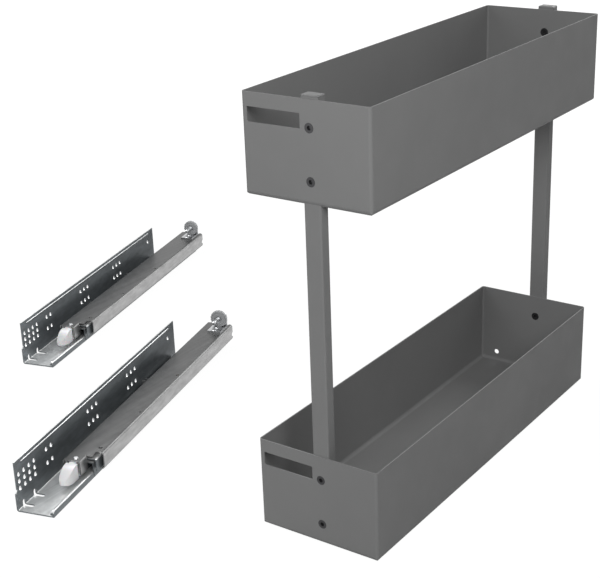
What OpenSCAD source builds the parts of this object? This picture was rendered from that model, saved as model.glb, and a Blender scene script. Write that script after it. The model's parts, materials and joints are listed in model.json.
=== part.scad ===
/* [Trays] */
// Outside width of each tray
tray_w = 134; // [110:1:180]
// Outside length of each tray, front to back
tray_l = 460; // [400:1:520]
// Height of each tray's walls
tray_h = 95; // [80:1:130]
// Height from the lower tray's underside to the upper tray's underside
tier_rise = 342; // [220:1:420]
// Thickness of the trays' steel sheet
sheet = 1.2; // [0.8:0.1:1.6]
// Outside radius of the bends along the trays' floors
bend_r = 5; // [3:0.1:6]
// Outside radius of the trays' upright corners
corner_r = 3; // [2:0.1:6]

/* [Uprights] */
// Width of each upright tube
upright_w = 18; // [14:1:24]
// Depth of each upright tube, front to back
upright_d = 12; // [10:1:16]
// Wall of each upright tube
upright_wall = 1.5; // [1:0.1:2]
// Outside radius of the tubes' corners
upright_r = 1.6; // [1.6:0.1:2.5]
// Distance of the uprights' middle to the right of the trays' middle
upright_x = 4.5; // [-10:0.5:20]
// Height of the tube ends above the upper tray's rim
upright_rise = 1.5; // [0.5:0.5:10]
// Thickness of the plastic cap's head
cap_head = 2; // [2:0.1:4]
// Radius of the head's round upper edges
cap_r = 1.8; // [0.5:0.1:1.9]
// Depth of the cap's plug inside the tube
cap_plug = 8; // [4:1:14]
// Corner radius of the cap's plug
plug_r = 1; // [0.5:0.1:2]
// Gap between the cap's plug and the tube
cap_clearance = 0.1; // [0.05:0.05:0.3]

/* [Tray openings] */
// Gap left of the hand slot, from the tray's outside
slot_inset = 5.5; // [4:0.5:20]
// Gap between the hand slot and the upright's near edge
slot_to_upright = 0.5; // [0.5:0.5:10]
// Height of the hand slot
slot_h = 14; // [8:0.5:20]
// Height of the hand slot's lower edge above the tray's underside
slot_z = 68; // [40:1:78]
// Corner radius of the hand slot
slot_r = 1.2; // [0.5:0.1:3]
// Radius of the hole that takes the slide's hook stud
hook_hole_r = 3; // [2.6:0.1:4]
// Distance of that hole's middle from the tray's left outside face
hook_hole_in = 21; // [16:0.5:40]
// Height of that hole's middle above the tray's underside
hook_hole_z = 12; // [12:0.5:30]

/* [Screws] */
// Height of the lower screw above each tray's underside
screw_low = 22; // [12:1:40]
// Height of the upper screw above each tray's underside
screw_high = 70; // [50:1:74]
// Radius of the screws' shank
screw_r = 2.5; // [2:0.1:3]
// Radius of the screws' countersunk head
head_r = 4.6; // [4:0.1:5.5]
// Height of that flat countersunk head, no more than a tray's sheet
head_h = 1.2; // [0.8:0.1:1.2]
// Width of the hexagon socket across its corners
socket_w = 4.6; // [2.5:0.1:5]
// Depth of the hexagon socket
socket_d = 2; // [1:0.1:2.2]
// Length of the screws
screw_l = 7; // [5:0.5:9]
// Gap all round a screw in its hole
screw_clearance = 0.1; // [0.05:0.05:0.3]
// Length of the threaded collar inside the tube
collar_l = 3; // [2:0.5:5]
// Wall of the threaded collar
collar_wall = 1.4; // [1:0.1:2]

/* [Cabinet rail] */
// Thickness of the cabinet rail's steel
rail_sheet = 1.5; // [1.2:0.1:2]
// Length of the flange that screws to the cabinet's side
flange_l = 380; // [360:1:420]
// Height of the flange
flange_h = 55; // [54:1:70]
// Set-back of the flange's front edge above its foot
flange_step = 3; // [1:0.5:4]
// Height of that foot
flange_foot = 20.5; // [16:0.5:21]
// Radius of the stiffening bead along the flange's top
bead_r = 1.6; // [1:0.1:1.8]
// Height by which the bead stands out of the flange
bead_out = 0.8; // [0.4:0.1:1]
// Drop from the flange's top edge to the bead's middle
bead_drop = 5; // [4:0.5:6]
// Distance of the bead's ends from the flange's ends
bead_inset = 16; // [10:1:40]
// Length of the base past the flange's rear end
base_tail = 60; // [40:1:80]
// Radius of the base's rear corner
tail_r = 3; // [1:0.5:6]
// Height of the folded ledge along the base's front right edge
ledge_h = 7; // [5:0.5:7]
// Gap inside the ledge's fold
ledge_fold = 1; // [0.6:0.1:1.5]
// Radius of the ledge's round front end
ledge_end_r = 4; // [2:0.5:5]
// Inside radius of the bends in the rails
rail_bend = 1; // [0.5:0.1:2]
// Radius of the screw holes in the flange
flange_hole_r = 2.5; // [1.5:0.1:3]
// Height of the upper row of flange holes
flange_row_top = 39; // [36:0.5:42]
// Drop from one row of the flange's system holes to the next
flange_row_drop = 16; // [12:0.5:18]
// Distance of the front grid's first holes from the front end
grid_start = 9; // [8:0.5:12]
// Distance from hole to hole along the flange
hole_pitch = 10; // [8:0.5:12]
// Distance of the second group's first hole from the front end
pair_start = 64; // [60:1:70]
// Distance of the third group's first hole from the front end
triple_start = 155; // [140:1:160]
// Distance from group to group along the flange
group_pitch = 96; // [90:1:100]
// Width of the two slots across the bend of flange and base
bend_slot_w = 5; // [3:0.5:6]
// Reach of these slots onto the base
bend_slot_reach = 13; // [9:0.5:16]
// Reach of these slots up the flange
bend_slot_rise = 8; // [6:0.5:12]
// Distance of the first slot from the front end
bend_slot_first = 12.5; // [10:0.5:16]
// Distance from the first slot to the second
bend_slot_pitch = 21.5; // [18:0.5:26]

/* [Runner] */
// Distance of the runner's middle from the flange's outside face
runner_x = 35.5; // [33:0.5:42]
// Width of the hat-shaped track on the base
track_w = 15; // [12:0.5:18]
// Height of the track's running face above the base's underside
track_top = 17.1; // [14:0.1:20]
// Thickness of the track's steel
track_sheet = 1.2; // [1:0.1:1.5]
// Width of the track's riveted foot
track_foot = 5; // [4.8:0.1:6]
// Distance of the track's front end from the cabinet rail's front end
track_start = 86; // [86:1:100]
// Distance of the track's and middle rail's rear ends from the base's rear end
runner_inset = 6; // [4:1:10]
// Inside radius of the track's bends
track_bend = 0.5; // [0.3:0.1:0.8]
// Inside radius of the middle rail's bends
middle_bend = 0.8; // [0.5:0.1:1]
// Outside radius of the cages' bends
cage_bend = 1; // [0.5:0.1:1.2]
// Distance of the first rivet from the track's front end
rivet_start = 12; // [8:1:20]
// Thickness of the middle rail's steel
middle_sheet = 1.2; // [1:0.1:1.5]
// Thickness of the drawer rail's steel
drawer_sheet = 1.3; // [1:0.1:1.6]
// Diameter of the load rollers
roller_d = 3; // [2.6:0.1:4]
// Diameter of the side balls
ball_d = 2.6; // [2.4:0.1:3.4]
// By how much a roller is shorter than half its rail's width
roller_free = 3; // [2.5:0.5:4]
// Drop from a running face to the middles of its side balls
ball_drop = 4; // [3.5:0.1:4.5]
// Gap between a roller and each rail it runs on
roller_play = 0.1; // [0.05:0.05:0.2]
// Distance from roller to roller along a cage
roller_pitch = 12; // [8:0.5:16]
// Thickness of the cages' plastic
cage_t = 1.5; // [1:0.1:1.8]
// Gap between a roller and its pocket in the cage
pocket_clearance = 0.15; // [0.1:0.05:0.3]
// Height of the cages' lower edges above the base's underside
cage_low = 8.5; // [8:0.5:10]
// Height of the middle rail's lower edges above the base's underside
middle_low = 7.5; // [7:0.5:9]
// Length of the outer cage
outer_cage_l = 125; // [100:1:130]
// Distance of the outer cage's front end from the front end
outer_cage_start = 195; // [193:1:200]
// Length of the inner cage
inner_cage_l = 120; // [90:1:122]
// Distance of the inner cage's front end from the front end
inner_cage_start = 200; // [197:1:205]

/* [Drawer rail] */
// Distance of the drawer rail's front end from the cabinet rail's front end
drawer_start = 70; // [68:1:71]
// Length of the drawer rail
drawer_l = 380; // [370:1:400]
// Distance of the drawer rail's left edge from the flange's outside face
drawer_left = 16; // [14:0.5:16.5]
// Height of the lip that turns down along that edge
drawer_lip = 4; // [4:0.5:5]
// Height of the drawer rail's right edge above the base's underside
drawer_low = 5; // [4.5:0.5:5.5]
// Outside radius of the inward curl along that edge
curl_r = 4.5; // [4:0.1:4.6]
// Outside radius of the drawer rail's left bends
drawer_r = 2.2; // [1.8:0.1:2.4]
// Outside radius of the drawer rail's right shoulder
shoulder_r = 3; // [2.5:0.1:3.8]
// Length of the notch at the drawer rail's front right corner
notch_l = 26; // [24:1:32]
// Width of that notch
notch_w = 8; // [6:0.5:10]
// Radius of the hole behind the notch
notch_hole_r = 2.2; // [1:0.1:2.5]
// Distance of that hole's middle behind the notch
notch_hole_back = 8; // [5:0.5:12]
// Distances of the two shoulder holes from the drawer rail's front end
shoulder_hole_front = 122; // [60:1:160]
// From its front end to the larger hole
shoulder_hole_rear = 222; // [180:1:300]
// Radius of the front shoulder hole
shoulder_hole_r = 1.4; // [1:0.1:2.4]
// Radius of the bites in the drawer rail's rear end
bite_r = 3; // [2:0.1:4]

/* [Front catch] */
// Width of the catch's housing and of the lever's nose
catch_w = 13; // [12.5:0.5:14]
// Wall of the catch's housing
catch_wall = 1.5; // [1.2:0.1:1.5]
// Radius of the housing's top edges
catch_r = 1; // [0.9:0.1:1.2]
// Gap between the housing and the sides of the drawer rail's tongue
catch_clearance = 0.3; // [0.2:0.1:0.5]
// Height of the nose and housing above the base's underside
catch_low = 7.5; // [7.5:0.5:10]
// Distance of the nose's tip ahead of the drawer rail
nose_ahead = 22; // [21:0.5:24]
// Length of the nose
nose_l = 19; // [18:0.5:19.5]
// Radius of the nose's right front corner, seen from above
nose_right_r = 9; // [4:0.5:10]
// Radius of the nose's left front corner, seen from above
nose_left_r = 2.5; // [1:0.5:3]
// Wall of the hollow nose
nose_wall = 2; // [1.5:0.1:3]
// Width of the lever's arm
lever_w = 7; // [5:0.5:7]
// Thickness of the lever's arm
lever_t = 4; // [3:0.5:5]
// Wall round the pin in the lever
boss_wall = 2.1; // [1.5:0.1:2.1]
// Radius of the lever's pivot pin
pivot_r = 2; // [1.5:0.1:2.5]
// Thickness of the pin's head under the lever
pin_head = 1.5; // [1:0.1:2]
// Rim of that head round the pin
pin_rim = 1.4; // [1:0.1:1.8]
// Radial gap between the pin and the lever
pivot_clearance = 0.08; // [0.05:0.01:0.1]
// Distance of the pivot behind the drawer rail's front end
pivot_back = 6; // [5:0.5:6]

/* [Rear hook] */
// Gap from the cabinet's side to the tray's left wall, when the tray is on its slide
tray_side_gap = 17; // [14:0.5:20]
// Radius of the adjuster wheel
wheel_r = 11; // [9:0.5:11.5]
// Thickness of the adjuster wheel
wheel_t = 6; // [4:0.5:8]
// Count of the grip flutes round the wheel
flutes = 18; // [12:1:24]
// Radius of a grip flute
flute_r = 1.2; // [0.8:0.1:1.2]
// Depth of the ring sunk into the wheel's face
ring_depth = 1.2; // [0.5:0.1:2]
// Radius of the hook stud's shaft
stud_r = 2.4; // [2:0.1:2.5]
// Length of the hook stud's free end
stud_l = 12; // [8:0.5:16]
// Length of that end's taper
stud_tip = 1.5; // [1:0.1:2]
// Thickness of the stud's flange
stud_flange_t = 1.6; // [1:0.1:2]
// Rim of the flange round the stud
stud_flange = 2; // [1:0.1:2.5]
// Thickness of the rear bracket's steel
bracket_t = 2; // [1.5:0.1:3]
// Width of the rear bracket
bracket_w = 18; // [14:0.5:20]
// Height of the bracket above the stud's middle
bracket_rise = 7; // [6:0.5:9]
// Radius of the bracket's top corners
bracket_r = 5; // [2:0.5:6]
// Length of the bracket's foot on the drawer rail
bracket_foot = 24; // [20:1:30]
// Distance of the bracket's plate ahead of the drawer rail's rear end
bracket_inset = 6; // [4:0.5:10]
// Radius of the rivets' shanks
rivet_r = 1.6; // [1.2:0.1:1.9]
// Height of the rivets' domed heads
rivet_dome = 1; // [0.6:0.1:1.4]
// Rim of the rivets' heads round their shanks
rivet_rim = 0.7; // [0.5:0.1:0.9]
// Gap between a rivet's shank and its hole
rivet_clearance = 0.05; // [0.02:0.01:0.1]

/* [Soft close] */
// Width of the soft-close housing
soft_w = 12.5; // [11:0.5:13]
// Length of the soft-close housing
soft_l = 132; // [128:1:134]
// Height of the soft-close housing
soft_h = 10; // [9:0.5:11]
// Distance of the housing's front end from the front end
soft_start = 238; // [236:1:240]
// Gap between the flange and the soft-close housing
soft_from_flange = 1.5; // [0.3:0.1:2]
// Wall of the soft-close housing
soft_wall = 2.5; // [2:0.1:3]
// Travel of the soft-close slider
soft_travel = 43; // [40:1:43]
// Gap between the slider and the housing's channel
slider_clearance = 0.3; // [0.2:0.05:0.5]
// Length of the slider
slider_l = 14; // [10:1:15]
// Height of the slider's prong above the housing
prong_h = 7; // [6:0.5:8]
// Thickness of the slider's prong
prong_t = 3; // [2:0.5:4]
// Thickness of the drawer rail's striker that the prong follows
striker_t = 2; // [1.5:0.5:3]
// Radius of the damper's cylinder
damper_r = 2.8; // [2.4:0.1:3]
// Length of the damper's cylinder
damper_l = 60; // [58:1:62]
// Radius of the damper's rod
rod_r = 1; // [0.8:0.1:1.4]
// Radial gap between the rod and the damper
rod_clearance = 0.1; // [0.05:0.05:0.15]

/* [Places] */
// Turn of both slides, front ends to the right
slide_yaw = 15; // [0:1:20]
// Sideways place of the upper tier's slide, at its flange's front end
upper_slide_x = -555; // [-620:5:-500]
// Front to back place of the upper tier's slide
upper_slide_y = -85; // [-150:5:0]
// Sideways place of the lower tier's slide, at its flange's front end
lower_slide_x = -295; // [-330:5:-280]
// Front to back place of the lower tier's slide
lower_slide_y = -345; // [-380:5:-280]

/* [Hidden] */
$fn = 40;
skin = 0.01;
rim_z = tier_rise + tray_h;
tube_foot = bend_r;
tube_top = rim_z + upright_rise;
tube_l = tube_top - tube_foot;
front_tube_y = -tray_l / 2 + sheet + upright_d / 2;
rear_tube_y = tray_l / 2 + upright_d / 2;
slot_x0 = -tray_w / 2 + slot_inset;
slot_x1 = upright_x - upright_w / 2 - slot_to_upright;
hook_hole_x = -tray_w / 2 + hook_hole_in;
screw_rows = [screw_low, screw_high];

middle_in_top = track_top + roller_d + 2 * roller_play;
middle_top = middle_in_top + middle_sheet;
drawer_in_top = middle_top + roller_d + 2 * roller_play;
drawer_top = drawer_in_top + drawer_sheet;
side_gap = ball_d + 2 * roller_play;
middle_in_half = track_w / 2 + side_gap;
middle_half = middle_in_half + middle_sheet;
drawer_in_half = middle_half + side_gap;
drawer_half = drawer_in_half + drawer_sheet;
drawer_x1 = runner_x + drawer_half;
wall_low = drawer_low + curl_r;
base_w = runner_x + track_w / 2;
base_l = flange_l + base_tail;
runner_end = base_l - runner_inset;
ledge_w = 2 * rail_sheet + ledge_fold;
ledge_end = track_start - 1;
tail_x = runner_x - track_w / 2 - track_foot - 1;
drawer_end = drawer_start + drawer_l;
rivet_head_r = rivet_r + rivet_rim;
rivet_step = (runner_end - track_start - 2 * rivet_start) / 4;
rivet_places = [for (i = [0:4]) track_start + rivet_start + i * rivet_step];
rivet_x = runner_x - track_w / 2 - track_foot / 2;

catch_x = runner_x - drawer_in_half + 1;
catch_y = drawer_start + 2;
catch_end = track_start - 2;
tongue_x1 = catch_x + catch_w + catch_clearance + drawer_sheet;
tongue_end = track_start - 1;
pin_gap = 0.3;
lever_top = drawer_in_top - pin_gap;
lever_z = lever_top - lever_t;
nose_y = drawer_start - nose_ahead;
nose_r = lever_top - catch_low;
pivot_x = catch_x + catch_w / 2;
pivot_y = drawer_start + pivot_back;

stud_x = tray_side_gap + hook_hole_in;
stud_z = drawer_top + hook_hole_z;
plate_y = drawer_end - bracket_inset - bracket_t;
wheel_gap = 0.3;
wheel_y = plate_y - wheel_t - wheel_gap;
stud_y = wheel_y - wheel_gap;
bracket_rivet_places = [for (s = [11, 20]) plate_y - bracket_foot / 24 * s];
window_w = 2 * sqrt(max(wheel_r * wheel_r - pow(hook_hole_z - bracket_t, 2), 0)) + 1.4;

soft_x = rail_sheet + soft_from_flange;
soft_floor = 2.2;
channel_w = soft_w - 2 * soft_wall;
slider_w = channel_w - 2 * slider_clearance;
slider_x = soft_x + soft_wall + slider_clearance;
slider_y = soft_start + soft_wall + 1 + soft_travel;
slider_z = rail_sheet + soft_floor + slider_clearance;
soft_top = rail_sheet + soft_h;
damper_y = soft_start + soft_l - soft_wall - damper_l;
damper_x = soft_x + soft_w / 2;
damper_z = rail_sheet + soft_floor + damper_r;
striker_gap = 1;
striker_y = slider_y - prong_t - striker_gap;
prong_top = soft_top + prong_h;

// Outline with four round corners
module round_rect(x0, y0, x1, y1, r) {
    translate([x0 + r, y0]) square([x1 - x0 - 2 * r, y1 - y0]);
    translate([x0, y0 + r]) square([x1 - x0, y1 - y0 - 2 * r]);
    for (x = [x0 + r, x1 - r], y = [y0 + r, y1 - r]) translate([x, y]) circle(r);
}

// Outline with its two lower corners round
module round_foot(x0, y0, x1, y1, r) {
    translate([x0 + r, y0]) square([x1 - x0 - 2 * r, y1 - y0]);
    translate([x0, y0 + r]) square([x1 - x0, y1 - y0 - r]);
    for (x = [x0 + r, x1 - r]) translate([x, y0 + r]) circle(r);
}

// Outline with its two upper corners round, each with its own radius
module round_head(x0, y0, x1, y1, r_left, r_right) {
    translate([x0, y0]) square([x1 - x0, y1 - y0 - max(r_left, r_right)]);
    translate([x0 + r_left, y0]) square([x1 - x0 - r_left - r_right, y1 - y0]);
    translate([x0, y0]) square([r_left + skin, y1 - y0 - r_left]);
    translate([x1 - r_right - skin, y0]) square([r_right + skin, y1 - y0 - r_right]);
    translate([x0 + r_left, y1 - r_left]) circle(r_left);
    translate([x1 - r_right, y1 - r_right]) circle(r_right);
}

// Extrudes a cross-section from y0 to y1
module along_y(y0, y1) {
    translate([0, y1, 0]) rotate([90, 0, 0]) linear_extrude(y1 - y0) children();
}

// Extrudes a side view from x0 to x1
module along_x(x0, x1) {
    translate([x0, 0, 0]) rotate([90, 0, 90]) linear_extrude(x1 - x0) children();
}

// Block with round lower bends and round upright corners, open or solid
module tray_form(inset) {
    r_foot = bend_r - inset;
    r_corner = corner_r - inset;
    x = tray_w / 2 - inset;
    y = tray_l / 2 - inset;
    top = inset > 0 ? tray_h + 1 : tray_h;
    intersection() {
        along_y(-y, y) round_foot(-x, inset, x, top, r_foot);
        along_x(-x, x) round_foot(-y, inset, y, top, r_foot);
        linear_extrude(top) round_rect(-x, -y, x, y, r_corner);
    }
}

// Countersunk screw along +Y, its head's face at the origin
module screw_form(extra) {
    rotate([-90, 0, 0]) {
        cylinder(h = head_h, r1 = head_r + extra, r2 = screw_r + extra);
        cylinder(h = screw_l, r = screw_r + extra);
    }
}

// Places one screw at each of a tray's two heights
module at_screws(z0, y) {
    for (z = screw_rows) translate([upright_x, y, z0 + z]) children();
}

module tray(z0, notched) {
    color("dimgray") difference() {
        translate([0, 0, z0]) tray_form(0);
        translate([0, 0, z0]) tray_form(sheet);
        translate([0, 0, z0]) along_y(-tray_l / 2 - 1, -tray_l / 2 + sheet + 1)
            round_rect(slot_x0, slot_z, slot_x1, slot_z + slot_h, slot_r);
        at_screws(z0, -tray_l / 2) screw_form(screw_clearance);
        at_screws(z0, tray_l / 2 - sheet) screw_form(screw_clearance);
        translate([hook_hole_x, tray_l / 2 - sheet - 1, z0 + hook_hole_z])
            rotate([-90, 0, 0]) cylinder(h = sheet + 2, r = hook_hole_r);
        if (notched) {
            translate([upright_x - upright_w / 2 - cap_clearance, -tray_l / 2 + sheet, z0 - 1])
                cube([upright_w + 2 * cap_clearance, upright_d + cap_clearance, bend_r + 1]);
        }
    }
}

module upper_tray() tray(tier_rise, true);
module lower_tray() tray(0, false);

// Tube with a threaded collar behind each screw hole in its front wall
module upright(y) {
    x0 = upright_x - upright_w / 2;
    in_r = max(upright_r - upright_wall, 0.1);
    face_y = y - upright_d / 2;
    color("dimgray") difference() {
        union() {
            translate([0, 0, tube_foot]) linear_extrude(tube_l) difference() {
                round_rect(x0, y - upright_d / 2, x0 + upright_w, y + upright_d / 2, upright_r);
                round_rect(x0 + upright_wall, y - upright_d / 2 + upright_wall,
                    x0 + upright_w - upright_wall, y + upright_d / 2 - upright_wall, in_r);
            }
            for (z0 = [0, tier_rise]) at_screws(z0, face_y + upright_wall - skin)
                rotate([-90, 0, 0]) cylinder(h = collar_l, r = screw_r + collar_wall);
        }
        for (z0 = [0, tier_rise]) at_screws(z0, face_y - sheet) screw_form(screw_clearance);
    }
}

module front_upright() upright(front_tube_y);
module rear_upright() upright(rear_tube_y);

// Cap with a pillow-shaped head and a plug inside the tube
module upright_cap(y) {
    x0 = upright_x - upright_w / 2;
    x1 = x0 + upright_w;
    y0 = y - upright_d / 2;
    y1 = y + upright_d / 2;
    inset = upright_wall + cap_clearance;
    color("dimgray") {
        translate([0, 0, tube_top]) intersection() {
            along_y(y0, y1) round_head(x0, 0, x1, cap_head, cap_r, cap_r);
            along_x(x0, x1) round_head(y0, 0, y1, cap_head, cap_r, cap_r);
            linear_extrude(cap_head) round_rect(x0, y0, x1, y1, upright_r);
        }
        translate([0, 0, tube_top - cap_plug]) linear_extrude(cap_plug + skin)
            round_rect(x0 + inset, y0 + inset, x1 - inset, y1 - inset, plug_r);
    }
}

module front_upright_cap() upright_cap(front_tube_y);
module rear_upright_cap() upright_cap(rear_tube_y);

module screws(z0, y) {
    color("#5a5c5e") at_screws(z0, y) difference() {
        screw_form(0);
        rotate([-90, 0, 0]) translate([0, 0, -skin]) cylinder(h = socket_d, r = socket_w / 2, $fn = 6);
    }
}

module upper_front_screws() screws(tier_rise, -tray_l / 2);
module upper_rear_screws() screws(tier_rise, tray_l / 2 - sheet);
module lower_front_screws() screws(0, -tray_l / 2);
module lower_rear_screws() screws(0, tray_l / 2 - sheet);

// Angle section of the cabinet rail: flange and base
module rail_section() {
    intersection() {
        difference() {
            round_foot(0, 0, 2 * base_w, flange_h, rail_bend + rail_sheet);
            translate([rail_sheet, rail_sheet]) round_foot(0, 0, 2 * base_w, flange_h, rail_bend);
        }
        square([base_w, flange_h]);
    }
}

// Section of the base's right edge, folded up, over and down again
module ledge_section() {
    x0 = base_w - ledge_w;
    difference() {
        round_head(x0, 0, base_w, ledge_h, ledge_w / 2 - skin, ledge_w / 2 - skin);
        round_head(x0 + rail_sheet, rail_sheet, base_w - rail_sheet, ledge_h - rail_sheet,
            ledge_fold / 2 - skin, ledge_fold / 2 - skin);
        translate([x0 - 1, rail_sheet]) square([rail_sheet + 2, ledge_fold]);
    }
}

// Folded ledge with a round front end
module ledge() {
    difference() {
        along_y(0, ledge_end) ledge_section();
        translate([0, -skin, ledge_h - ledge_end_r]) difference() {
            cube([base_w + 1, ledge_end_r, ledge_end_r + 1]);
            translate([-1, ledge_end_r, 0]) rotate([0, 90, 0]) cylinder(h = base_w + 3, r = ledge_end_r);
        }
    }
}

// Long bead under the flange's top edge, as a rod with round ends
module bead_rod(x) {
    z = flange_h - bead_drop;
    translate([x, bead_inset, z]) sphere(bead_r);
    translate([x, flange_l - bead_inset, z]) sphere(bead_r);
    translate([x, bead_inset, z]) rotate([-90, 0, 0]) cylinder(h = flange_l - 2 * bead_inset, r = bead_r);
}

// Side view of what is cut from the flange's front edge above its foot
module flange_cut() {
    polygon([[-1, flange_foot], [0, flange_foot], [flange_step, flange_foot + flange_step],
        [flange_step, flange_h + 1], [-1, flange_h + 1]]);
}

module flange_hole(y, z) {
    translate([-1, y, z]) rotate([0, 90, 0]) cylinder(h = rail_sheet + 2, r = flange_hole_r);
}

module flange_holes() {
    for (i = [0:3], j = [0:2])
        flange_hole(grid_start + i * hole_pitch, flange_row_top - j * flange_row_drop / 2);
    for (i = [0:1], j = [0:1])
        flange_hole(pair_start + i * hole_pitch, flange_row_top - j * flange_row_drop);
    for (g = [0:1], i = [0:2], j = [0:1])
        flange_hole(triple_start + g * group_pitch + i * hole_pitch, flange_row_top - j * flange_row_drop);
    flange_hole(flange_l - 2 * grid_start, flange_row_top);
}

// Slot that runs from the flange round the bend onto the base, round at both ends
module bend_slot(y) {
    r = bend_slot_w / 2;
    translate([-1, y - r, -1]) cube([bend_slot_reach - r + 1, bend_slot_w, bend_slot_rise - r + 1]);
    translate([bend_slot_reach - r, y, -1]) cylinder(h = rail_sheet + 2, r = r);
    translate([-1, y, bend_slot_rise - r]) rotate([0, 90, 0]) cylinder(h = rail_sheet + 2, r = r);
}

module cabinet_rail() {
    color("#5d6468") difference() {
        union() {
            along_y(0, base_l) rail_section();
            ledge();
            bead_rod(rail_sheet + bead_out - bead_r);
        }
        bead_rod(bead_out - bead_r);
        translate([-1, flange_l, -1]) cube([tail_x + 1, base_tail + 1, flange_h + 2]);
        along_x(-2 * bead_r, 2 * rail_sheet) flange_cut();
        flange_holes();
        bend_slot(bend_slot_first);
        bend_slot(bend_slot_first + bend_slot_pitch);
        for (y = rivet_places) translate([rivet_x, y, -1])
            cylinder(h = rail_sheet + 2, r = rivet_r + rivet_clearance);
        translate([tail_x - 1, base_l - tail_r, -1]) difference() {
            cube([tail_r + 1, tail_r + 1, rail_sheet + 2]);
            translate([tail_r + 1, 0, -1]) cylinder(h = rail_sheet + 4, r = tail_r);
        }
    }
}

// Hat-shaped track riveted to the base
module track() {
    x0 = runner_x - track_w / 2;
    x1 = runner_x + track_w / 2;
    out_r = track_bend + track_sheet;
    color("#8b9094") difference() {
        along_y(track_start, runner_end) difference() {
            union() {
                round_head(x0, rail_sheet, x1, track_top, out_r, out_r);
                translate([x0 - track_foot, rail_sheet]) square([track_foot + 1, track_sheet]);
            }
            round_head(x0 + track_sheet, rail_sheet - 1, x1 - track_sheet, track_top - track_sheet,
                track_bend, track_bend);
        }
        for (y = rivet_places) translate([rivet_x, y, rail_sheet - 1])
            cylinder(h = track_sheet + 2, r = rivet_r + rivet_clearance);
    }
}

// Rivet whose foot is flush and whose head is a dome
module rivet(grip) {
    cylinder(h = grip + skin, r = rivet_r);
    translate([0, 0, grip]) cylinder(h = rivet_dome / 2, r = rivet_head_r);
    translate([0, 0, grip + rivet_dome / 2]) cylinder(h = rivet_dome / 2, r1 = rivet_head_r, r2 = rivet_r);
}

module track_rivets() {
    color("#9aa0a4") for (y = rivet_places)
        translate([rivet_x, y, 0]) rivet(rail_sheet + track_sheet);
}

// Rollers lie across the cage's top, and balls stand in its sides
function cage_places(start, length) =
    [for (i = [0:floor((length - roller_pitch) / roller_pitch)]) start + roller_pitch * (i + 0.5)];

module roller_set(start, length, low_top, half) {
    z = low_top + roller_play + roller_d / 2;
    roller_w = half - roller_free;
    ball_x = half + roller_play + ball_d / 2;
    for (y = cage_places(start, length)) {
        translate([runner_x - roller_w / 2, y, z]) rotate([0, 90, 0]) cylinder(h = roller_w, r = roller_d / 2);
        for (s = [-1, 1]) translate([runner_x + s * ball_x, y, low_top - ball_drop]) sphere(ball_d / 2);
    }
}

// Saddle of plastic that keeps its rollers and balls apart
module cage(start, length, low_top, half) {
    z = low_top + roller_play + roller_d / 2;
    x_in = half + side_gap / 2 - cage_t / 2;
    x_out = x_in + cage_t;
    top = z + cage_t / 2;
    roller_w = half - roller_free;
    ball_x = half + roller_play + ball_d / 2;
    difference() {
        along_y(start, start + length) difference() {
            round_head(runner_x - x_out, cage_low, runner_x + x_out, top, cage_bend, cage_bend);
            translate([runner_x - x_in, cage_low - 1]) square([2 * x_in, top - cage_t - cage_low + 1]);
        }
        for (y = cage_places(start, length)) {
            translate([runner_x - roller_w / 2 - pocket_clearance, y - roller_d / 2 - pocket_clearance, z - cage_t])
                cube([roller_w + 2 * pocket_clearance, roller_d + 2 * pocket_clearance, 2 * cage_t]);
            for (s = [-1, 1]) translate([runner_x + s * ball_x, y, low_top - ball_drop]) rotate([0, 90, 0])
                cylinder(h = 2 * cage_t, r = ball_d / 2 + pocket_clearance, center = true);
        }
    }
}

module outer_cage() color("#dcdcd8") cage(outer_cage_start, outer_cage_l, track_top, track_w / 2);
module outer_rollers() color("#b8bcc0") roller_set(outer_cage_start, outer_cage_l, track_top, track_w / 2);
module inner_cage() color("#dcdcd8") cage(inner_cage_start, inner_cage_l, middle_top, middle_half);
module inner_rollers() color("#b8bcc0") roller_set(inner_cage_start, inner_cage_l, middle_top, middle_half);

module middle_rail() {
    out_r = middle_bend + middle_sheet;
    color("#7c8286") along_y(track_start, runner_end) difference() {
        round_head(runner_x - middle_half, middle_low, runner_x + middle_half, middle_top, out_r, out_r);
        round_head(runner_x - middle_in_half, middle_low - 1, runner_x + middle_in_half, middle_in_top,
            middle_bend, middle_bend);
    }
}

// Inverted channel with a plate that reaches left over the soft close, its right side at x1
module channel_section(x1, right_r) {
    x0 = runner_x - drawer_half;
    in_r = drawer_r - drawer_sheet;
    difference() {
        union() {
            round_head(x0, wall_low, x1, drawer_top, drawer_r, right_r);
            round_head(drawer_left, drawer_top - drawer_lip, x1, drawer_top, drawer_r, right_r);
        }
        round_head(x0 + drawer_sheet, wall_low - 1, x1 - drawer_sheet, drawer_in_top,
            in_r, right_r - drawer_sheet);
        round_head(drawer_left + drawer_sheet, wall_low - 1, x0, drawer_in_top, in_r, in_r);
    }
}

// Quarter of a ring that curls the right wall's lower edge inwards
module curl_section() {
    translate([drawer_x1 - curl_r, wall_low]) intersection() {
        difference() {
            circle(curl_r);
            circle(curl_r - drawer_sheet);
        }
        translate([0, -curl_r - 1]) square([curl_r + 1, curl_r + 1 + skin]);
    }
}

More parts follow.
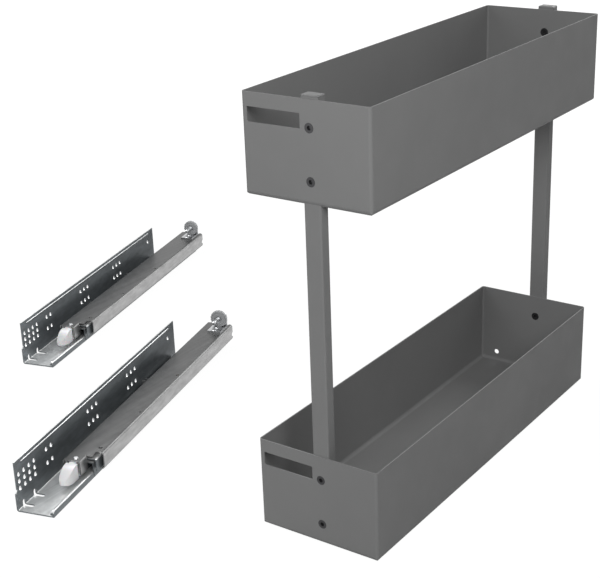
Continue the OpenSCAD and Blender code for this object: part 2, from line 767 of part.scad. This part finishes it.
// Holes and bites in the drawer rail's top and right side
module drawer_cuts() {
    shoulder_x = drawer_x1 - shoulder_r - 1.5;
    through = drawer_sheet + 2;
    translate([drawer_x1 - notch_w, drawer_start - 1, drawer_low - 1])
        cube([notch_w + 1, notch_l + 1, drawer_top]);
    translate([drawer_x1 - notch_w, drawer_start + notch_l + notch_hole_back, drawer_in_top - 1])
        cylinder(h = through, r = notch_hole_r);
    translate([shoulder_x, drawer_start + shoulder_hole_front, drawer_in_top - 1])
        cylinder(h = through, r = shoulder_hole_r);
    translate([shoulder_x, drawer_start + shoulder_hole_rear, drawer_in_top - 1])
        cylinder(h = through, r = notch_hole_r);
    translate([shoulder_x - bite_r, drawer_end, drawer_in_top - 1]) cylinder(h = through, r = bite_r);
    translate([drawer_x1 - through, drawer_end, drawer_top / 2]) rotate([0, 90, 0])
        cylinder(h = through + 1, r = bite_r);
}

module drawer_rail() {
    striker_low = prong_top - prong_h + 2;
    color("#83888c") {
        difference() {
            union() {
                along_y(drawer_start, tongue_end + skin) channel_section(tongue_x1, drawer_r);
                along_y(tongue_end, drawer_end) channel_section(drawer_x1, shoulder_r);
                along_y(tongue_end, drawer_end) curl_section();
            }
            drawer_cuts();
            translate([pivot_x, pivot_y, drawer_in_top - 1])
                cylinder(h = drawer_sheet + 2, r = pivot_r + rivet_clearance);
            for (y = bracket_rivet_places) translate([stud_x, y, drawer_in_top - 1])
                cylinder(h = drawer_sheet + 2, r = rivet_r + rivet_clearance);
        }
        translate([slider_x, striker_y - striker_t, striker_low])
            cube([runner_x - drawer_half - slider_x + drawer_sheet / 2, striker_t, prong_top + 1 - striker_low]);
    }
}

// Plastic housing under the drawer rail's tongue, open to the front for the lever's arm
module front_catch() {
    in_w = catch_w - 2 * catch_wall;
    color("#e6e6e8") difference() {
        along_y(catch_y, catch_end)
            round_head(catch_x, catch_low, catch_x + catch_w, drawer_in_top, catch_r, catch_r);
        translate([catch_x + catch_wall, catch_y - 1, catch_low + catch_wall])
            cube([in_w, catch_end - catch_y + 1 - catch_wall, drawer_top]);
    }
}

// Nose of the lever: a quarter round from the side, with its right front corner round from above
module nose_form() {
    intersection() {
        along_x(catch_x, catch_x + catch_w) {
            translate([nose_y + nose_r, catch_low]) intersection() {
                circle(nose_r);
                translate([-nose_r - 1, 0]) square([nose_r + 1, nose_r + 1]);
            }
            translate([nose_y + nose_r - skin, catch_low]) square([nose_l - nose_r + skin, nose_r]);
        }
        linear_extrude(drawer_top) translate([0, nose_y + nose_l]) mirror([0, 1])
            round_head(catch_x, 0, catch_x + catch_w, nose_l, nose_left_r, nose_right_r);
    }
}

// Lever with a hollow white nose and an arm that turns on a pin under the tongue
module release_lever() {
    hollow_y = nose_y + nose_r / 2;
    arm_y = nose_y + nose_l - nose_wall;
    color("#e6e6e8") difference() {
        union() {
            difference() {
                nose_form();
                translate([catch_x + nose_wall, hollow_y, catch_low - 1])
                    cube([catch_w - 2 * nose_wall, nose_y + nose_l - nose_wall - hollow_y, lever_z - catch_low + 1]);
            }
            translate([pivot_x - lever_w / 2, arm_y, lever_z]) cube([lever_w, pivot_y - arm_y, lever_t]);
            translate([pivot_x, pivot_y, lever_z]) cylinder(h = lever_t, r = pivot_r + boss_wall);
        }
        translate([pivot_x, pivot_y, lever_z - 1]) cylinder(h = lever_t + 2, r = pivot_r + pivot_clearance);
    }
}

// Pin with a flat head under the lever and a riveted dome on the tongue
module lever_pin() {
    z0 = lever_z - pin_gap;
    color("#9aa0a4") translate([pivot_x, pivot_y, 0]) {
        translate([0, 0, z0 - pin_head]) cylinder(h = pin_head, r = pivot_r + pin_rim);
        translate([0, 0, z0 - skin]) cylinder(h = drawer_top - z0 + skin, r = pivot_r);
        translate([0, 0, drawer_top]) cylinder(h = rivet_dome, r1 = pivot_r + rivet_rim, r2 = pivot_r);
    }
}

// Angle bracket on the drawer rail's rear end
module rear_bracket() {
    x0 = stud_x - bracket_w / 2;
    color("#8f9498") difference() {
        union() {
            translate([x0, plate_y + bracket_t - bracket_foot, drawer_top])
                cube([bracket_w, bracket_foot, bracket_t]);
            along_y(plate_y, plate_y + bracket_t)
                round_head(x0, drawer_top, x0 + bracket_w, stud_z + bracket_rise, bracket_r, bracket_r);
        }
        translate([stud_x, plate_y - 1, stud_z]) rotate([-90, 0, 0])
            cylinder(h = bracket_t + 2, r = stud_r + rivet_clearance);
        for (y = bracket_rivet_places) translate([stud_x, y, drawer_top - 1])
            cylinder(h = bracket_t + 2, r = rivet_r + rivet_clearance);
        translate([stud_x - window_w / 2, stud_y, drawer_top - 1])
            cube([window_w, wheel_t + 2 * wheel_gap, bracket_t + 2]);
    }
}

// Stud that hooks into the hole in the tray's rear wall, with a flange on the wheel's front
module hook_stud() {
    tip_y = stud_y - stud_flange_t - stud_l;
    color("#a4a9ad") translate([stud_x, 0, stud_z]) rotate([-90, 0, 0]) {
        translate([0, 0, stud_y - stud_flange_t]) cylinder(h = stud_flange_t, r = stud_r + stud_flange);
        translate([0, 0, tip_y]) cylinder(h = stud_l + skin, r = stud_r);
        translate([0, 0, tip_y - stud_tip]) cylinder(h = stud_tip, r1 = stud_r - 1, r2 = stud_r);
        translate([0, 0, stud_y - skin])
            cylinder(h = drawer_end - bracket_inset - stud_y + rivet_dome, r = stud_r);
    }
}

// Fluted wheel with blunt edges and a ring sunk into its face
module adjuster_wheel() {
    edge = wheel_t / 6;
    color("#808488") translate([stud_x, wheel_y, stud_z]) rotate([-90, 0, 0]) difference() {
        union() {
            cylinder(h = wheel_t, r = wheel_r - edge);
            translate([0, 0, edge]) cylinder(h = wheel_t - 2 * edge, r = wheel_r);
        }
        for (i = [0:flutes - 1]) rotate([0, 0, i * 360 / flutes])
            translate([wheel_r + flute_r / 2, 0, -1]) cylinder(h = wheel_t + 2, r = flute_r);
        translate([0, 0, -1]) cylinder(h = wheel_t + 2, r = stud_r + pivot_clearance);
        translate([0, 0, -skin]) difference() {
            cylinder(h = ring_depth, r = wheel_r - 2 * flute_r);
            translate([0, 0, -1]) cylinder(h = ring_depth + 2, r = stud_r + 2 * flute_r);
        }
    }
}

module bracket_rivets() {
    color("#9aa0a4") for (y = bracket_rivet_places)
        translate([stud_x, y, drawer_in_top]) rivet(drawer_sheet + bracket_t);
}

module soft_close_housing() {
    floor_z = rail_sheet + soft_floor;
    color("#26282a") difference() {
        translate([soft_x, soft_start, rail_sheet]) cube([soft_w, soft_l, soft_h]);
        translate([soft_x + soft_wall, soft_start + soft_wall, floor_z])
            cube([channel_w, soft_l - 2 * soft_wall, soft_h]);
    }
}

module damper() {
    color("#6a6e72") translate([damper_x, damper_y, damper_z]) rotate([-90, 0, 0]) difference() {
        cylinder(h = damper_l, r = damper_r);
        translate([0, 0, -1]) cylinder(h = damper_l - 2, r = rod_r + rod_clearance);
    }
}

// Slider with its prong behind the striker, and the damper's rod behind it
module soft_close_slider() {
    rod_y = slider_y + slider_l;
    rod_end = damper_y + damper_l - 5;
    color("#3a3d40") {
        translate([slider_x, slider_y, slider_z]) cube([slider_w, slider_l, soft_top - slider_z]);
        translate([slider_x, slider_y, soft_top - skin]) cube([slider_w, prong_t, prong_h]);
        translate([damper_x, rod_y - skin, damper_z]) rotate([-90, 0, 0])
            cylinder(h = rod_end - rod_y, r = rod_r);
    }
}

// Floor places of the two slides
module upper_slide() {
    translate([upper_slide_x, upper_slide_y, 0]) rotate([0, 0, slide_yaw]) children();
}

module lower_slide() {
    translate([lower_slide_x, lower_slide_y, 0]) rotate([0, 0, slide_yaw]) children();
}

upper_tray();
lower_tray();
front_upright();
rear_upright();
front_upright_cap();
rear_upright_cap();
upper_front_screws();
upper_rear_screws();
lower_front_screws();
lower_rear_screws();
upper_slide() cabinet_rail();  // upper_cabinet_rail
upper_slide() track();  // upper_track
upper_slide() track_rivets();  // upper_track_rivets
upper_slide() outer_cage();  // upper_outer_cage
upper_slide() outer_rollers();  // upper_outer_rollers
upper_slide() middle_rail();  // upper_middle_rail
upper_slide() inner_cage();  // upper_inner_cage
upper_slide() inner_rollers();  // upper_inner_rollers
upper_slide() drawer_rail();  // upper_drawer_rail
upper_slide() front_catch();  // upper_front_catch
upper_slide() release_lever();  // upper_release_lever
upper_slide() lever_pin();  // upper_lever_pin
upper_slide() rear_bracket();  // upper_rear_bracket
upper_slide() hook_stud();  // upper_hook_stud
upper_slide() adjuster_wheel();  // upper_adjuster_wheel
upper_slide() bracket_rivets();  // upper_bracket_rivets
upper_slide() soft_close_housing();  // upper_soft_close_housing
upper_slide() damper();  // upper_damper
upper_slide() soft_close_slider();  // upper_soft_close_slider
lower_slide() cabinet_rail();  // lower_cabinet_rail
lower_slide() track();  // lower_track
lower_slide() track_rivets();  // lower_track_rivets
lower_slide() outer_cage();  // lower_outer_cage
lower_slide() outer_rollers();  // lower_outer_rollers
lower_slide() middle_rail();  // lower_middle_rail
lower_slide() inner_cage();  // lower_inner_cage
lower_slide() inner_rollers();  // lower_inner_rollers
lower_slide() drawer_rail();  // lower_drawer_rail
lower_slide() front_catch();  // lower_front_catch
lower_slide() release_lever();  // lower_release_lever
lower_slide() lever_pin();  // lower_lever_pin
lower_slide() rear_bracket();  // lower_rear_bracket
lower_slide() hook_stud();  // lower_hook_stud
lower_slide() adjuster_wheel();  // lower_adjuster_wheel
lower_slide() bracket_rivets();  // lower_bracket_rivets
lower_slide() soft_close_housing();  // lower_soft_close_housing
lower_slide() damper();  // lower_damper
lower_slide() soft_close_slider();  // lower_soft_close_slider
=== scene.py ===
# %% [markdown]
# # Two-tier pull-out rack with its slides
#
# Two open steel trays stand one above the other on two uprights, and two undermount slides lie
# beside them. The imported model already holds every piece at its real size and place, down to
# the rollers inside the slides, so nothing is modelled twice here. This lesson sets up the
# view and the light, and then gives each piece its finish: paint, plated steel or plastic.

# %% Load the frame
import json
import math

import bpy
from mathutils import Matrix, Vector

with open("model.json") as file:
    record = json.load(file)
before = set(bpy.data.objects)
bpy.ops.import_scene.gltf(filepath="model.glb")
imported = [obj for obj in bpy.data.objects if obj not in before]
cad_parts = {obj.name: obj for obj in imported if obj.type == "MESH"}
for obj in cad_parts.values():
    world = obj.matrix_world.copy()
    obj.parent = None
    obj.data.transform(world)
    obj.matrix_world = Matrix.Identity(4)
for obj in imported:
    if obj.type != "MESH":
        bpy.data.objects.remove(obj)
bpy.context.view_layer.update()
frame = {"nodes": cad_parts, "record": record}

# %% [markdown]
# ## Camera
#
# The rack is seen from its front right corner and from a little above. A long lens keeps its
# sides nearly parallel. A camera could be aimed by a constraint, but a constraint has no roll,
# and here a small roll leans the upright edges as they are seen. So the turn is built from
# three directions, as a camera looks along its own -Z: right, up, and backwards.

# %% Make the camera
camera_place = Vector((0.6400, -1.1309, 0.7049))
camera_aim = Vector((-0.0946, -0.1146, 0.2049))
camera_roll = math.radians(2.2)

forward = (camera_aim - camera_place).normalized()
level_right = forward.cross(Vector((0, 0, 1))).normalized()
level_up = level_right.cross(forward)
up = level_up * math.cos(camera_roll) + level_right * math.sin(camera_roll)
right = forward.cross(up)
camera_turn = Matrix((right, up, -forward)).transposed()

camera_data = bpy.data.cameras.new("camera")
camera_data.lens = 79.99
camera_data.clip_start = 0.05
camera_data.clip_end = 20
camera = bpy.data.objects.new("camera", camera_data)
camera.matrix_world = Matrix.Translation(camera_place) @ camera_turn.to_4x4()
bpy.context.scene.collection.objects.link(camera)
bpy.context.scene.camera = camera
bpy.context.scene.view_settings.view_transform = "Standard"
print("camera distance", round((camera_aim - camera_place).length, 3), "m")

# %% [markdown]
# ## White ground
#
# The picture has a clean white ground. A white floor alone comes out grey, and more light to
# whiten it would wash out the steel. So the ground answers each ray by its kind: it looks
# white to the camera, in a mirror and through glass, and it gives little light to everything
# else. The Light Path node tells these rays apart. The first helper makes a node in one line,
# because every material below is built from nodes.


# %% Tell seen rays from bounced light
def add(nodes, kind, values=None, **settings):
    """A new shader node with its settings, and values for its sockets by name."""
    made = nodes.new("ShaderNode" + kind)
    for setting, value in settings.items():
        setattr(made, setting, value)
    for socket, value in (values or {}).items():
        made.inputs[socket].default_value = value
    return made


def seen_rays(nodes, links):
    """One for camera, glossy and transmission rays, zero for the light that bounces."""
    path = add(nodes, "LightPath")
    first = add(nodes, "Math", operation="MAXIMUM")
    second = add(nodes, "Math", operation="MAXIMUM")
    links.new(path.outputs["Is Camera Ray"], first.inputs[0])
    links.new(path.outputs["Is Glossy Ray"], first.inputs[1])
    links.new(first.outputs[0], second.inputs[0])
    links.new(path.outputs["Is Transmission Ray"], second.inputs[1])
    return second.outputs[0]


print("helpers", add.__name__, seen_rays.__name__)

# %% [markdown]
# ## Floor
#
# One large square is enough, a hair below the feet so that no two faces share a plane.

# %% Lay the floor
floor_size = 9.0
floor_drop = 0.0002

half = floor_size / 2
corners = [(-half, -half, 0), (half, -half, 0), (half, half, 0), (-half, half, 0)]
floor_mesh = bpy.data.meshes.new("floor")
floor_mesh.from_pydata(corners, [], [(0, 1, 2, 3)])
floor = bpy.data.objects.new("floor", floor_mesh)
floor.location.z = -floor_drop
bpy.context.scene.collection.objects.link(floor)
print("floor", floor_size, "m square")

# %% [markdown]
# ## Floor paint
#
# The floor is a mix of matt paint, which takes a soft shadow, and glow, which stays white. A
# sharp border between the two would show, so the glow's share grows with the distance from the
# rack: near it a little matt is left for the shadow, and far away the floor is as white as the
# sky and runs into it without an edge.

# %% Paint the floor
shadow_reach, white_reach = 0.9, 1.8  # metres from the rack
glow_near_rack = 0.86
glow_strength = 1.12

floor_paint = bpy.data.materials.new("floor_paint")
floor_paint.use_nodes = True
nodes, links = floor_paint.node_tree.nodes, floor_paint.node_tree.links
nodes.clear()
matt = add(nodes, "BsdfDiffuse", {"Color": (0.5, 0.5, 0.5, 1)})
glow = add(nodes, "Emission", {"Strength": glow_strength})
where = add(nodes, "TexCoord")
reach = add(nodes, "VectorMath", operation="LENGTH")
fade = add(nodes, "MapRange", {"From Min": shadow_reach, "From Max": white_reach, "To Min": glow_near_rack})
share = add(nodes, "Math", operation="MULTIPLY")
mix = add(nodes, "MixShader")
surface = add(nodes, "OutputMaterial")
links.new(where.outputs["Object"], reach.inputs[0])
links.new(reach.outputs["Value"], fade.inputs["Value"])
links.new(seen_rays(nodes, links), share.inputs[0])
links.new(fade.outputs[0], share.inputs[1])
links.new(share.outputs[0], mix.inputs[0])
links.new(matt.outputs[0], mix.inputs[1])
links.new(glow.outputs[0], mix.inputs[2])
links.new(mix.outputs[0], surface.inputs["Surface"])
floor_mesh.materials.append(floor_paint)
print("floor white from", white_reach, "m on")

# %% [markdown]
# ## Sky
#
# The sky is the same white to the eye. To everything else it is a faint fill that lifts the
# darkest corners of the trays, where the lamps don't reach.

# %% Hang the sky
sky_light = 0.096

world = bpy.data.worlds.new("sky")
world.use_nodes = True
bpy.context.scene.world = world
nodes, links = world.node_tree.nodes, world.node_tree.links
nodes.clear()
level = add(nodes, "MapRange", {"To Min": sky_light, "To Max": 1})
sky = add(nodes, "Background", {"Color": (1, 1, 1, 1)})
sky_out = add(nodes, "OutputWorld")
links.new(seen_rays(nodes, links), level.inputs["Value"])
links.new(level.outputs[0], sky.inputs["Strength"])
links.new(sky.outputs[0], sky_out.inputs["Surface"])
print("sky light", sky_light)

# %% [markdown]
# ## Lamps
#
# The key lamp hangs over the camera's right shoulder: from there it reaches into both trays
# and fades towards their rear. The left lamp lights the slides' tops, and the front and rear
# lamps keep the end walls from going dark. All are wide, because sheet steel shows the edges
# of a small lamp as hard stripes.


# %% Hang the lamps
def lamp(name, place, aim, size, watts):
    """A square area lamp that points at a spot."""
    data = bpy.data.lights.new(name, "AREA")
    data.size = size
    data.energy = watts
    thing = bpy.data.objects.new(name, data)
    thing.location = place
    thing.rotation_mode = "QUATERNION"
    thing.rotation_quaternion = (Vector(aim) - Vector(place)).to_track_quat("-Z", "Y")
    bpy.context.scene.collection.objects.link(thing)


middle = (0, 0, 0.2)
lamp("key_lamp", (0.8, -1.0, 1.2), middle, 0.8, 18.5)
lamp("front_lamp", (-0.3, -0.95, 0.42), (0, -0.2, 0.22), 0.6, 1.8)
lamp("left_lamp", (-1.6, 0.2, 1.6), middle, 1.2, 28)
lamp("rear_lamp", (0, 1.3, 0.9), middle, 0.8, 9)

# %% [markdown]
# ## The slides' direction
#
# The slides lie askew on the floor. Their steel was rolled along their length, so its streaks
# have to follow them. The angle could be typed in, but the record knows it: the mount of a
# screw hole in the flange has an axis, and that axis points straight across the slide.

# %% Measure how far the slides are turned
mounts = {mount["name"]: mount for mount in frame["record"]["mounts"]}
across = Vector(mounts["upper_flange_hole_front"]["axis"])
slide_turn = math.atan2(across.y, across.x)
print("slides turned by", round(math.degrees(slide_turn), 2), "degrees")

# %% [markdown]
# ## Noise for surfaces
#
# Real surfaces are never quite even. Noise can stand for all of their unevenness, if its size
# is right, and it needs no picture. A scale counts its lumps in a metre, and the object's own
# coordinates are in metres and stay with a piece as it moves. These helpers make the noise,
# stretch it over a range of values, and use it as a blend of two colours or as a bump.


# %% Make the helpers for surfaces
def start_material(name):
    """An empty material with a Principled shader, and short names for its tree."""
    material = bpy.data.materials.new(name)
    material.use_nodes = True
    nodes, links = material.node_tree.nodes, material.node_tree.links
    return material, nodes, links, nodes["Principled BSDF"]


def noise(nodes, links, scale, detail, stretch=(1, 1, 1), turn=0.0):
    """Noise in the object's own metres, stretched and turned as asked."""
    where = add(nodes, "TexCoord")
    mapping = add(nodes, "Mapping", {"Scale": stretch, "Rotation": (0, 0, turn)})
    texture = add(nodes, "TexNoise", {"Scale": scale, "Detail": detail})
    links.new(where.outputs["Object"], mapping.inputs["Vector"])
    links.new(mapping.outputs[0], texture.inputs["Vector"])
    return texture.outputs["Fac"]


def spread(nodes, links, value, low, high):
    """Stretches a noise's middle, where most of it lies, over a range of values."""
    ramp = add(nodes, "MapRange", {"From Min": 0.3, "From Max": 0.7, "To Min": low, "To Max": high})
    links.new(value, ramp.inputs["Value"])
    return ramp.outputs[0]


def two_tones(nodes, links, value, first, second):
    """Blends two colours by a noise."""
    blend = add(nodes, "Mix", {"A": (*first, 1), "B": (*second, 1)}, data_type="RGBA")
    links.new(value, blend.inputs["Factor"])
    return blend.outputs["Result"]


def bump(nodes, links, shader, layers):
    """Stacks bumps: each layer is a height, its strength and its depth in metres."""
    below = None
    for height, strength, depth in layers:
        step = add(nodes, "Bump", {"Strength": strength, "Distance": depth})
        links.new(height, step.inputs["Height"])
        if below:
            links.new(below, step.inputs["Normal"])
        below = step.outputs[0]
    links.new(below, shader.inputs["Normal"])


SKIN = 0.0001  # a tenth of a millimetre, the depth of what a fingertip just feels
print("skin depth", SKIN * 1000, "mm")

# %% [markdown]
# ## Powder-coated steel
#
# The trays and uprights are sprayed with grey powder that melts into a satin skin. Close up the
# skin isn't flat: it has a fine orange-peel ripple about a millimetre across, and the sheet
# under it is never quite true. Modelling either would take millions of faces, so both go into
# the bump. The tone and the shine drift slowly along the sheet.


# %% Mix the paint
def powder_coat(name, light, dark):
    """Satin paint with a fine ripple, which drifts between a light and a dark tone."""
    material, nodes, links, shader = start_material(name)
    drift = spread(nodes, links, noise(nodes, links, scale=6, detail=4), 0, 1)
    shine = noise(nodes, links, scale=40, detail=5)
    peel = noise(nodes, links, scale=900, detail=2)
    sheet = noise(nodes, links, scale=9, detail=1)
    links.new(two_tones(nodes, links, drift, light, dark), shader.inputs["Base Color"])
    links.new(spread(nodes, links, shine, 0.56, 0.68), shader.inputs["Roughness"])
    shader.inputs["Specular IOR Level"].default_value = 0.12
    bump(nodes, links, shader, [(sheet, 0.25, 20 * SKIN), (peel, 0.12, SKIN)])
    return material


tray_paint = powder_coat("tray_paint", (0.196, 0.197, 0.196), (0.178, 0.179, 0.179))
print("mixed", tray_paint.name)

# %% [markdown]
# ## Painted light by facing
#
# Light falls unlike on a profile's faces, and here that is painted into the steel's colour: the
# drawer rail gets a painted dark top and painted light sides, and the cabinet rail a painted dark
# flange and a painted bright base. Each face could get a material of its own, but the profiles'
# faces are many and their bends are round. So the way that a face points picks its painted tone,
# and the tones flow into each other round the bends. Faces that look down get painted shade.


# %% Paint light and shade by the way a face points
# Where a face points: 0 is straight down, 0.5 is sideways and 1 is straight up
dark_until = 0.25
upright_from, upright_until = 0.42, 0.62
level_from = 0.9

# painted shade: this colour stands in for the shade on faces that look down
painted_underside_shade = (0.03, 0.03, 0.032)  # the tone of faces that look down


def painted_light_by_facing(nodes, links, level, upright):
    """Painted light: one tone for level faces, one for upright ones, and painted shade for faces that look
    down.
    """
    face = add(nodes, "NewGeometry")
    parts = add(nodes, "SeparateXYZ")
    lift = add(nodes, "Math", {1: 0.5, 2: 0.5}, operation="MULTIPLY_ADD")  # -1 to 1 becomes 0 to 1
    ramp = add(nodes, "ValToRGB")
    links.new(face.outputs["Normal"], parts.inputs[0])
    links.new(parts.outputs["Z"], lift.inputs[0])
    links.new(lift.outputs[0], ramp.inputs["Fac"])
    stops = ramp.color_ramp.elements
    stops[0].position, stops[1].position = dark_until, level_from
    stops[0].color, stops[1].color = (*painted_underside_shade, 1), (*level, 1)
    for place in (upright_from, upright_until):
        stops.new(place).color = (*upright, 1)
    return ramp.outputs["Color"]


def shaded(nodes, links, colour, value):
    """A colour made darker or lighter by a value."""
    mix = add(nodes, "Mix", {"Factor": 1}, data_type="RGBA", blend_type="MULTIPLY")
    links.new(colour, mix.inputs["A"])
    links.new(value, mix.inputs["B"])
    return mix.outputs["Result"]


print("helpers", painted_light_by_facing.__name__, shaded.__name__)

# %% [markdown]
# ## Zinc-plated steel
#
# The slides are rolled from strip and plated. Rolling leaves streaks along the strip, so a
# noise is drawn out along the slide's length and turned with it. Zinc leaves a faint mottle
# about a centimetre across, which shows in the tone and in the shine.


# %% Plate the slides
def plated(name, level, upright, rough, metal=0.85):
    """Streaked and mottled steel, with painted light: one tone for level faces, one for upright ones, and
    painted shade on faces that look down.
    """
    material, nodes, links, shader = start_material(name)
    streaks = noise(nodes, links, scale=16, detail=3, stretch=(12, 0.6, 12), turn=-slide_turn)
    mottle = noise(nodes, links, scale=110, detail=4)
    colour = painted_light_by_facing(nodes, links, level, upright)
    colour = shaded(nodes, links, colour, spread(nodes, links, streaks, 0.8, 1.1))
    colour = shaded(nodes, links, colour, spread(nodes, links, mottle, 0.93, 1.05))
    links.new(colour, shader.inputs["Base Color"])
    links.new(spread(nodes, links, mottle, rough, rough + 0.08), shader.inputs["Roughness"])
    shader.inputs["Metallic"].default_value = metal
    bump(nodes, links, shader, [(streaks, 0.06, SKIN), (mottle, 0.008, SKIN)])
    return material


# The level and upright tones below are painted light: they differ by how the light falls on such faces, and
# downward faces get painted shade.
rail_steel = plated("rail_steel", (0.72, 0.73, 0.73), (0.15, 0.166, 0.176), 0.30, metal=0.55)
drawer_steel = plated("drawer_steel", (0.108, 0.109, 0.109), (0.41, 0.41, 0.41), 0.32)
bright_steel = plated("bright_steel", (0.62, 0.63, 0.64), (0.56, 0.57, 0.58), 0.26, metal=1.0)
print("plated", rail_steel.name, drawer_steel.name, bright_steel.name)

# %% [markdown]
# ## Moulded plastic
#
# The front catches and levers are white, the roller cages the plastic's own off-white, the
# adjuster wheels grey, the caps a little darker than the paint, partly as painted shade on their
# tops, and the soft-close housings nearly black. Moulded plastic has a nearly even colour, but its
# skin is etched by the mould, so a fine noise breaks its shine, and a little light that goes under
# the skin softens the white. The blackened screws have the same fine skin, over metal.


# %% Mould the plastics
def moulded(name, colour, rough, under_skin=0.0, metal=0.0):
    """Plastic, or blackened metal, with an etched skin."""
    material, nodes, links, shader = start_material(name)
    darker = tuple(c * 0.93 for c in colour)
    tone = spread(nodes, links, noise(nodes, links, scale=30, detail=3), 0, 1)
    shine = noise(nodes, links, scale=120, detail=3)
    etch = noise(nodes, links, scale=1500, detail=2)
    links.new(two_tones(nodes, links, tone, colour, darker), shader.inputs["Base Color"])
    links.new(spread(nodes, links, shine, rough - 0.05, rough + 0.07), shader.inputs["Roughness"])
    shader.inputs["Metallic"].default_value = metal
    shader.inputs["Subsurface Weight"].default_value = under_skin
    shader.inputs["Subsurface Scale"].default_value = 0.001
    bump(nodes, links, shader, [(etch, 0.15, SKIN)])
    return material


white_plastic = moulded("white_plastic", (0.80, 0.80, 0.81), 0.38, under_skin=0.15)
natural_plastic = moulded("natural_plastic", (0.66, 0.66, 0.62), 0.45, under_skin=0.1)
grey_plastic = moulded("grey_plastic", (0.44, 0.45, 0.46), 0.40)
black_plastic = moulded("black_plastic", (0.022, 0.023, 0.025), 0.45)
# The caps' colour is set darker than the paint partly to paint the shade on their tops.
cap_plastic = moulded("cap_plastic", (0.115, 0.116, 0.116), 0.5)
screw_steel = moulded("screw_steel", (0.035, 0.035, 0.037), 0.35, metal=0.6)
print("moulded", white_plastic.name, natural_plastic.name, grey_plastic.name)
print("moulded", black_plastic.name, cap_plastic.name, screw_steel.name)

# %% [markdown]
# ## Finishing the pieces
#
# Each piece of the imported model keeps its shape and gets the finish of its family. Forty-eight
# lines could do it one by one. A table from the last words of a piece's name to a finish does
# it for both slides at once, and where two endings fit, the longer one says more.

# %% Give every piece its finish
FINISHES = {
    "tray": tray_paint, "upright": tray_paint, "cap": cap_plastic, "screws": screw_steel,
    "cabinet_rail": rail_steel, "track": rail_steel, "rivets": bright_steel, "cage": natural_plastic,
    "rollers": bright_steel, "middle_rail": rail_steel, "drawer_rail": drawer_steel,
    "front_catch": white_plastic, "release_lever": white_plastic, "lever_pin": bright_steel,
    "rear_bracket": bright_steel, "hook_stud": bright_steel, "adjuster_wheel": grey_plastic,
    "housing": black_plastic, "damper": rail_steel, "slider": black_plastic,
}


def finish_of(name):
    """The finish whose key is the longest ending of the piece's name."""
    keys = [key for key in FINISHES if name.endswith(key)]
    return FINISHES[max(keys, key=len)]


for name, piece in frame["nodes"].items():
    piece.data.materials.clear()
    piece.data.materials.append(finish_of(name))
print("finished", len(frame["nodes"]), "pieces")
